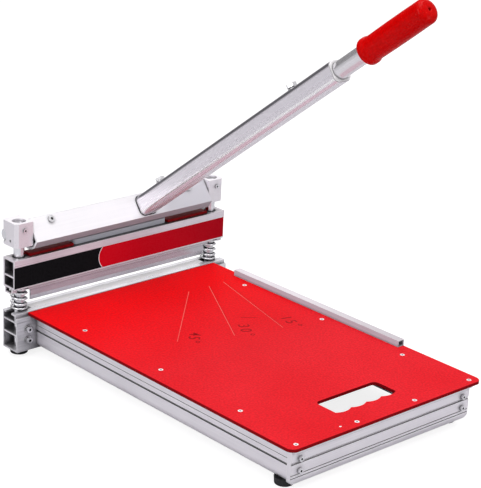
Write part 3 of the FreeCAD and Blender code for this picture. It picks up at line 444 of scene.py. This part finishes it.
def makeLabelMaterial(look):
    material, tree, shader, vector = startMaterial("labelFilm")
    low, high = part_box("label_plate")
    grains = groupNode(tree, grainGroup, Vector=vector, Grain=600.0)
    parts = tree.nodes.new("ShaderNodeSeparateXYZ")
    link(tree, vector, parts.inputs[0])
    across = mathNode(tree, "SUBTRACT", parts.outputs[0], look["dividerX"] + look["arcRadius"])
    up = mathNode(tree, "SUBTRACT", parts.outputs[2], (low.z + high.z) / 2)
    reach = mathNode(tree, "SQRT", mathNode(tree, "ADD", mathNode(tree, "MULTIPLY", across, across),
                                            mathNode(tree, "MULTIPLY", up, up)))
    inArc = mathNode(tree, "LESS_THAN", reach, look["arcRadius"])
    pastArc = mathNode(tree, "GREATER_THAN", across, 0.0)
    isRed = mathNode(tree, "MAXIMUM", inArc, pastArc)
    fade = rampNode(tree, parts.outputs[0], look["dividerX"], high.x)
    red = mixColour(tree, fade, look["redNear"], look["redFar"])
    link(tree, mixColour(tree, isRed, look["black"], red), shader.inputs["Base Color"])
    link(tree, rampNode(tree, grains["Peel"], 0.3, 0.7, 0.24, 0.32), shader.inputs["Roughness"])
    shader.inputs["Specular IOR Level"].default_value = 0.03
    bumpTo(tree, shader, grains["Peel"], 0.05, 0.0001)
    return material


finishes = [
    (redPaint, ["table_plate"]),
    (paleScrew, ["table_screws", "fence_rivets", "foot_screws"]),
    (zinc, ["rail_end_screws", "post_clamp_bolts", "beam_rail_screws", "block_screws", "block_set_screws",
            "blade_screws", "pressure_bar_screws", "lever_face_bolts", "socket_screws", "clinch_nuts",
            "handle_clamp_bolt", "lock_bolt"]),
    (beamMetal, ["upper_beam", "blade_clamp"]),
    (nearMetal, ["near_rail"]),
    (brushedMetal, ["lower_beam"]),
    (railMetal, ["side_rail_left", "side_rail_right"]),
    (fenceMetal, ["fence_tube"]),
    (leverMetal, ["lever_bar"]),
    (tubeMetal, ["outer_tube", "handle_socket"]),
    (innerTubeMetal, ["inner_tube"]),
    (blockMetal, ["post_block_left", "post_block_right"]),
    (chrome, ["guide_post_left", "guide_post_right", "lever_shaft"]),
    (bladeSteel, ["blade"]),
    (nylonWhite, ["anvil_strip", "tube_end_bush", "inner_tube_plug"]),
    (nylonRed, ["wear_strips"]),
    (paleBar, ["pressure_bar"]),
    (rubberBlack, ["guide_bushings", "lever_bushes", "foot_beam_left", "foot_beam_right",
                   "foot_near_left", "foot_near_right"]),
    (makeLabelMaterial(labelLook), ["label_plate"]),
]
for material, names in finishes:
    for name in names:
        slots = nodes[name].data.materials
        slots.clear()
        slots.append(material)
print("finishes set on the frame")


def meshObject(name, bm, material, smooth=40):
    mesh = bpy.data.meshes.new(name)
    bm.to_mesh(mesh)
    bm.free()
    piece = bpy.data.objects.new(name, mesh)
    bpy.context.scene.collection.objects.link(piece)
    mesh.materials.append(material)
    if smooth:
        mesh.shade_smooth()
        mesh.set_sharp_from_angle(angle=math.radians(smooth))
    return piece


def plainMesh(piece, material):
    bpy.context.view_layer.update()
    shape = piece.evaluated_get(bpy.context.evaluated_depsgraph_get())
    mesh = bpy.data.meshes.new_from_object(shape)
    mesh.transform(piece.matrix_world)
    name = piece.name
    bpy.data.objects.remove(piece)
    made = bpy.data.objects.new(name, mesh)
    bpy.context.scene.collection.objects.link(made)
    mesh.materials.clear()
    mesh.materials.append(material)
    return made


def geometryTree(name, inputs):
    tree = bpy.data.node_groups.new(name, "GeometryNodeTree")
    tree.is_modifier = True
    for label, kind, value in inputs:
        socket = tree.interface.new_socket(label, in_out="INPUT", socket_type=kind)
        if value is not None:
            socket.default_value = value
    tree.interface.new_socket("Geometry", in_out="OUTPUT", socket_type="NodeSocketGeometry")
    return tree, tree.nodes.new("NodeGroupInput").outputs, tree.nodes.new("NodeGroupOutput").inputs


def runTree(name, tree, values, material):
    piece = bpy.data.objects.new(name, bpy.data.meshes.new(name))
    bpy.context.scene.collection.objects.link(piece)
    modifier = piece.modifiers.new("shape", "NODES")
    modifier.node_group = tree
    sockets = {item.name: item.identifier for item in tree.interface.items_tree
               if item.item_type == "SOCKET" and item.in_out == "INPUT"}
    for label, value in values.items():
        modifier[sockets[label]] = value
    return plainMesh(piece, material)


springLook = {
    "turns": 4.6, "coil": 10.9 * mm, "wire": 1.7 * mm,      # both radii
    "closing": 0.5,      # 1 spaces the coils evenly, less draws the end ones together
    "stepsPerTurn": 26, "wireSides": 12,
}


def springTree(look):
    tree, inputs, outputs = geometryTree("springTree", [
        ("Turns", "NodeSocketFloat", 5.0), ("Coil", "NodeSocketFloat", 0.011),
        ("Wire", "NodeSocketFloat", 0.0015), ("Height", "NodeSocketFloat", 0.03),
        ("Closing", "NodeSocketFloat", 0.5), ("Place", "NodeSocketVector", None),
        ("Finish", "NodeSocketMaterial", None)])
    spiral = tree.nodes.new("GeometryNodeCurveSpiral")
    spiral.inputs["Resolution"].default_value = look["stepsPerTurn"]
    link(tree, inputs["Turns"], spiral.inputs["Rotations"])
    link(tree, inputs["Coil"], spiral.inputs["Start Radius"])
    link(tree, inputs["Coil"], spiral.inputs["End Radius"])
    link(tree, inputs["Height"], spiral.inputs["Height"])
    position = tree.nodes.new("GeometryNodeInputPosition")
    parts = tree.nodes.new("ShaderNodeSeparateXYZ")
    link(tree, position.outputs[0], parts.inputs[0])
    eased = tree.nodes.new("ShaderNodeMapRange")
    eased.interpolation_type = "SMOOTHSTEP"
    link(tree, parts.outputs[2], eased.inputs["Value"])
    link(tree, inputs["Height"], eased.inputs["From Max"])
    link(tree, inputs["Height"], eased.inputs["To Max"])
    gap = mathNode(tree, "SUBTRACT", eased.outputs["Result"], parts.outputs[2])
    lift = mathNode(tree, "MULTIPLY", gap, mathNode(tree, "SUBTRACT", 1.0, inputs["Closing"]))
    offset = tree.nodes.new("ShaderNodeCombineXYZ")
    link(tree, lift, offset.inputs[2])
    shifted = tree.nodes.new("GeometryNodeSetPosition")
    link(tree, spiral.outputs[0], shifted.inputs["Geometry"])
    link(tree, offset.outputs[0], shifted.inputs["Offset"])
    ring = tree.nodes.new("GeometryNodeCurvePrimitiveCircle")
    ring.inputs["Resolution"].default_value = look["wireSides"]
    link(tree, inputs["Wire"], ring.inputs["Radius"])
    tube = tree.nodes.new("GeometryNodeCurveToMesh")
    tube.inputs["Fill Caps"].default_value = True
    link(tree, shifted.outputs[0], tube.inputs["Curve"])
    link(tree, ring.outputs[0], tube.inputs["Profile Curve"])
    moved = tree.nodes.new("GeometryNodeTransform")
    link(tree, tube.outputs[0], moved.inputs["Geometry"])
    link(tree, inputs["Place"], moved.inputs["Translation"])
    real = tree.nodes.new("GeometryNodeRealizeInstances")
    link(tree, moved.outputs[0], real.inputs[0])
    finish = tree.nodes.new("GeometryNodeSetMaterial")
    link(tree, real.outputs[0], finish.inputs["Geometry"])
    link(tree, inputs["Finish"], finish.inputs["Material"])
    link(tree, finish.outputs[0], outputs[0])
    return tree


def makeSprings(look):
    tree = springTree(look)
    for side in ("left", "right"):
        low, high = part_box("spring_" + side)
        wire = look["wire"]
        rise = high.z - low.z
        place = Vector(((low.x + high.x) / 2, (low.y + high.y) / 2, low.z + wire))
        values = {"Turns": look["turns"], "Coil": look["coil"], "Wire": wire, "Height": rise - 2 * wire,
                  "Closing": look["closing"], "Place": place, "Finish": chrome}
        spring = runTree("springCoil_" + side, tree, values, chrome)
        spring.data.shade_smooth()
        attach(spring, "base")
        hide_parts("spring_" + side)
        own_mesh(spring)
    print("springs wound")


makeSprings(springLook)


quarterSteps = 8      # straight pieces in a rounded corner


# the handle's direction, the one square to it, and the middle of the node named
def handleFrame(node):
    along = Vector(joints["handle_telescope"]["axis"]).normalized()
    upper = Vector((0, along.z, -along.y))
    low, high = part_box(node)
    return along, upper, (low + high) / 2


gripLook = {
    "length": 124 * mm, "segments": 96,
    "bore": 12.55 * mm, "collar": 18.9 * mm, "body": 17.0 * mm,      # radii
    "rim": 2.2 * mm,      # rounding of the collar
    "easeFrom": 6 * mm, "easeRun": 9 * mm,      # where the collar narrows to the body
    "belly": 0.35 * mm,
    "tipRun": 12 * mm, "dome": 11 * mm, "domeDepth": 0.72,      # the rounded end
    "dip": 0.2 * mm, "flat": 2 * mm,
    "vent": 2.2 * mm, "ventLip": 0.8 * mm, "ventRound": 0.5 * mm, "ventDeep": 6 * mm,
}


def gripOutline(look):
    collar, body, length, rim = look["collar"], look["body"], look["length"], look["rim"]
    spots = [(0.0, look["bore"]), (0.0, collar - rim)]
    for i in range(quarterSteps + 1):      # rounded rim of the collar
        a = math.radians(90 * i / quarterSteps)
        spots.append((rim - rim * math.cos(a), collar - rim + rim * math.sin(a)))
    easeSteps = 8
    for i in range(1, easeSteps + 1):      # ease from the collar to the body
        t = i / easeSteps
        ease = t * t * (3 - 2 * t)
        spots.append((look["easeFrom"] + look["easeRun"] * t, collar + (body - collar) * ease))
    palmFrom = look["easeFrom"] + look["easeRun"]
    palmRun = length - palmFrom - look["tipRun"]
    palmSteps = 12
    for i in range(1, palmSteps):      # slightly full in the palm
        t = i / palmSteps
        spots.append((palmFrom + palmRun * t, body + look["belly"] * math.sin(math.pi * t)))
    dome = look["dome"]
    depth = dome * look["domeDepth"]
    domeSteps = 12
    for i in range(domeSteps + 1):
        a = math.radians(90 * i / domeSteps)
        spots.append((length - depth + depth * math.sin(a), body - dome + dome * math.cos(a)))
    vent = look["vent"]
    spots += [(length + look["dip"], body - dome - look["flat"]), (length, vent + look["ventLip"]),
              (length - look["ventRound"], vent), (length - look["ventDeep"], vent)]
    return spots


def makeGrip(look):
    along, upper, centre = handleFrame("handle_grip")
    side = along.cross(upper)
    start = centre - along * look["length"] / 2
    bm = bmesh.new()
    rings = []
    count = look["segments"]
    for distance, radius in gripOutline(look):
        ring = []
        for i in range(count):
            a = math.tau * i / count
            ring.append(bm.verts.new(start + along * distance
                                     + (upper * math.cos(a) + side * math.sin(a)) * radius))
        rings.append(ring)
    for first, second in zip(rings, rings[1:] + rings[:1]):
        for i in range(count):
            bm.faces.new((first[i], first[(i + 1) % count], second[(i + 1) % count], second[i]))
    bmesh.ops.remove_doubles(bm, verts=bm.verts, dist=1e-6)
    bmesh.ops.recalc_face_normals(bm, faces=bm.faces)
    grip = meshObject("vinylGrip", bm, gripRed)
    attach(grip, "handle_extension")
    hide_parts("handle_grip")
    print("grip dipped")


makeGrip(gripLook)


gapShadeLook = {      # painted shade: a thin dark ring round the handle tube's foot, in place of the shaded gap at the lever
    "wide": 32.4 * mm, "high": 33.4 * mm, "round": 9.2 * mm, "from": 30.02 * mm, "to": 30.28 * mm,
}


def makeGapShade(look):
    along, upper, middle = handleFrame("inner_tube")
    side = Vector((1, 0, 0))
    pivot = Vector(joints["lever_hinge"]["pos_m"])
    foot = middle - along * along.dot(middle - pivot)      # level with the lever's pivot
    bm = bmesh.new()
    rings = []
    half = (look["wide"] / 2 - look["round"], look["high"] / 2 - look["round"])
    for distance in (look["from"], look["to"]):
        ring = []
        for quarter, (sx, sy) in enumerate(((1, 1), (-1, 1), (-1, -1), (1, -1))):
            for i in range(quarterSteps + 1):
                a = math.radians(90 * quarter + 90 * i / quarterSteps)
                x = sx * half[0] + look["round"] * math.cos(a)
                y = sy * half[1] + look["round"] * math.sin(a)
                ring.append(bm.verts.new(foot + along * distance + side * x + upper * y))
        rings.append(ring)
    count = len(rings[0])
    for i in range(count):
        bm.faces.new((rings[0][i], rings[0][(i + 1) % count], rings[1][(i + 1) % count], rings[1][i]))
    bm.faces.new(rings[0])
    bm.faces.new(rings[1][::-1])
    bmesh.ops.recalc_face_normals(bm, faces=bm.faces)
    gapShade = meshObject("tubeGapShade", bm, rubberBlack)
    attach(gapShade, "lever")
    print("tube seam drawn")


makeGapShade(gapShadeLook)


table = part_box("table_plate")
tableEdge = table[1].y + 0.2 * mm
tableTop = table[1].z
markLook = {
    "spot": (159.5 * mm, 21.5 * mm),      # where all three lines would meet, from the table's far edge
    "lines": ((45, 133.4 * mm), (30, 109.3 * mm), (15, 97.1 * mm)),
    "length": 194.5 * mm,
    "width": 1.0 * mm,
    "proud": 0.04 * mm,
    "inset": 0.3 * mm,      # left out at both ends of a line
    "sunk": 0.3 * mm,
    "textHeight": 17 * mm,
    "fontScale": 1.4,      # font size over figure height
    "textProud": 0.05 * mm,
    "textBold": 0.08 * mm,
    "pointerHalf": 0.5 * mm,
    # angle, middle of the first figure, step between figures
    "numerals": ((45, (-0.0354, 0.0481), 13.5 * mm), (30, (0.0415, 0.0302), 16.5 * mm),
                 (15, (0.1121, 0.0159), 15.5 * mm)),
    "pointers": (((0.0597, 0.0560), (0.0783, 0.0420)),),
}


def lineDirection(angle):
    lean = math.radians(angle)
    return Vector((-math.sin(lean), -math.cos(lean), 0))


def makeScribes(look):
    bm = bmesh.new()
    spot = Vector((look["spot"][0], tableEdge + look["spot"][1], tableTop + look["proud"]))
    for angle, start in look["lines"]:
        run = lineDirection(angle)
        across = Vector((-run.y, run.x, 0)) * look["width"] / 2
        first = spot + run * (start + look["inset"])
        last = spot + run * (start + look["length"] - look["inset"])
        corners = [first + across, first - across, last - across, last + across]
        top = [bm.verts.new(c) for c in corners]
        low = [bm.verts.new(c - Vector((0, 0, look["sunk"]))) for c in corners]
        bm.faces.new(top)
        bm.faces.new(low[::-1])
        for i in range(4):
            bm.faces.new((top[i], low[i], low[(i + 1) % 4], top[(i + 1) % 4]))
    bmesh.ops.recalc_face_normals(bm, faces=bm.faces)
    scribes = meshObject("scribeLines", bm, scribeLine, smooth=0)
    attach(scribes, "base")
    print("lines scribed")


def flatText(body, look, place, run, material):
    up = Vector((-run.y, run.x, 0))
    data = bpy.data.curves.new("figure", "FONT")
    data.body = body
    data.size = look["textHeight"] * look["fontScale"]
    data.extrude = look["textProud"]
    data.offset = look["textBold"]
    data.align_x, data.align_y = "CENTER", "CENTER"
    text = bpy.data.objects.new("figure", data)
    bpy.context.scene.collection.objects.link(text)
    turn = Matrix((run, up, Vector((0, 0, 1)))).transposed().to_4x4()
    text.matrix_world = Matrix.Translation(place) @ turn
    return plainMesh(text, material)


def makeNumerals(look):
    pieces = []
    for angle, first, step in look["numerals"]:
        run = lineDirection(angle)
        for i, figure in enumerate("%d\u00b0" % angle):
            place = Vector((*first, tableTop)) + run * step * i
            pieces.append(flatText(figure, look, place, run, engraved))
    bm = bmesh.new()
    for piece in pieces:
        bm.from_mesh(piece.data)
        bpy.data.objects.remove(piece)
    for first, last in look["pointers"]:
        a, b = Vector((*first, tableTop)), Vector((*last, tableTop))
        across = (b - a).normalized().cross(Vector((0, 0, 1))) * look["pointerHalf"]
        rise = Vector((0, 0, look["textProud"]))
        corners = [bm.verts.new(p + s + r) for r in (rise, -rise) for p, s in
                   ((a, across), (a, -across), (b, -across), (b, across))]
        for loop in ((0, 1, 2, 3), (7, 6, 5, 4), (0, 4, 5, 1), (1, 5, 6, 2), (2, 6, 7, 3), (3, 7, 4, 0)):
            bm.faces.new([corners[k] for k in loop])
    bmesh.ops.recalc_face_normals(bm, faces=bm.faces)
    numerals = meshObject("angleFigures", bm, engraved, smooth=0)
    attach(numerals, "base")
    print("table marked")


makeScribes(markLook)
makeNumerals(markLook)


def makeDivider(look):
    low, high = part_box("label_plate")
    middle = Vector((look["dividerX"] + look["arcRadius"], low.y, (low.z + high.z) / 2))
    half = (high.z - low.z) / 2 - look["ruleMargin"]
    outer, inner = look["arcRadius"] + look["ruleHalf"], look["arcRadius"] - look["ruleHalf"]
    reach = math.asin(half / outer)
    steps, proud = look["ruleSteps"], look["ruleProud"]
    bm = bmesh.new()
    rings = []
    for i in range(steps + 1):
        a = math.pi - reach + 2 * reach * i / steps
        ring = []
        for radius, depth in ((inner, 0), (outer, 0), (outer, proud), (inner, proud)):
            up = max(-half, min(half, radius * math.sin(a)))
            ring.append(bm.verts.new(middle + Vector((radius * math.cos(a), -depth, up))))
        rings.append(ring)
    for first, second in zip(rings, rings[1:]):
        for i in range(4):
            bm.faces.new((first[i], first[(i + 1) % 4], second[(i + 1) % 4], second[i]))
    bm.faces.new(rings[0])
    bm.faces.new(rings[-1][::-1])
    bmesh.ops.recalc_face_normals(bm, faces=bm.faces)
    divider = meshObject("labelRule", bm, dividerWhite, smooth=0)
    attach(divider, "blade_beam")
    print("label ruled")


makeDivider(labelLook)


floorLook = {
    "size": 12,
    "mirrored": (0.58, 0.58, 0.60),
    "seen": ((0.26, 0.26, 0.265), (0.28, 0.28, 0.28)),
    "glow": 0.84,
    "clouds": 1.5,
}


def makeFloor(look):
    bm = bmesh.new()
    bmesh.ops.create_grid(bm, x_segments=1, y_segments=1, size=look["size"])
    material, tree, shader, vector = startMaterial("paleFloor")
    rays = tree.nodes.new("ShaderNodeLightPath")
    pale = mixColour(tree, noiseNode(tree, vector, look["clouds"], 2), *look["seen"])
    link(tree, mixColour(tree, rays.outputs["Is Camera Ray"], look["mirrored"], pale),
         shader.inputs["Base Color"])
    shader.inputs["Roughness"].default_value = 0.7
    shader.inputs["Emission Color"].default_value = (1, 1, 1, 1)
    link(tree, mathNode(tree, "MULTIPLY", rays.outputs["Is Camera Ray"], look["glow"]),
         shader.inputs["Emission Strength"])
    floor = meshObject("floor", bm, material, smooth=0)
    print("floor laid")


makeFloor(floorLook)

print("scene ready")
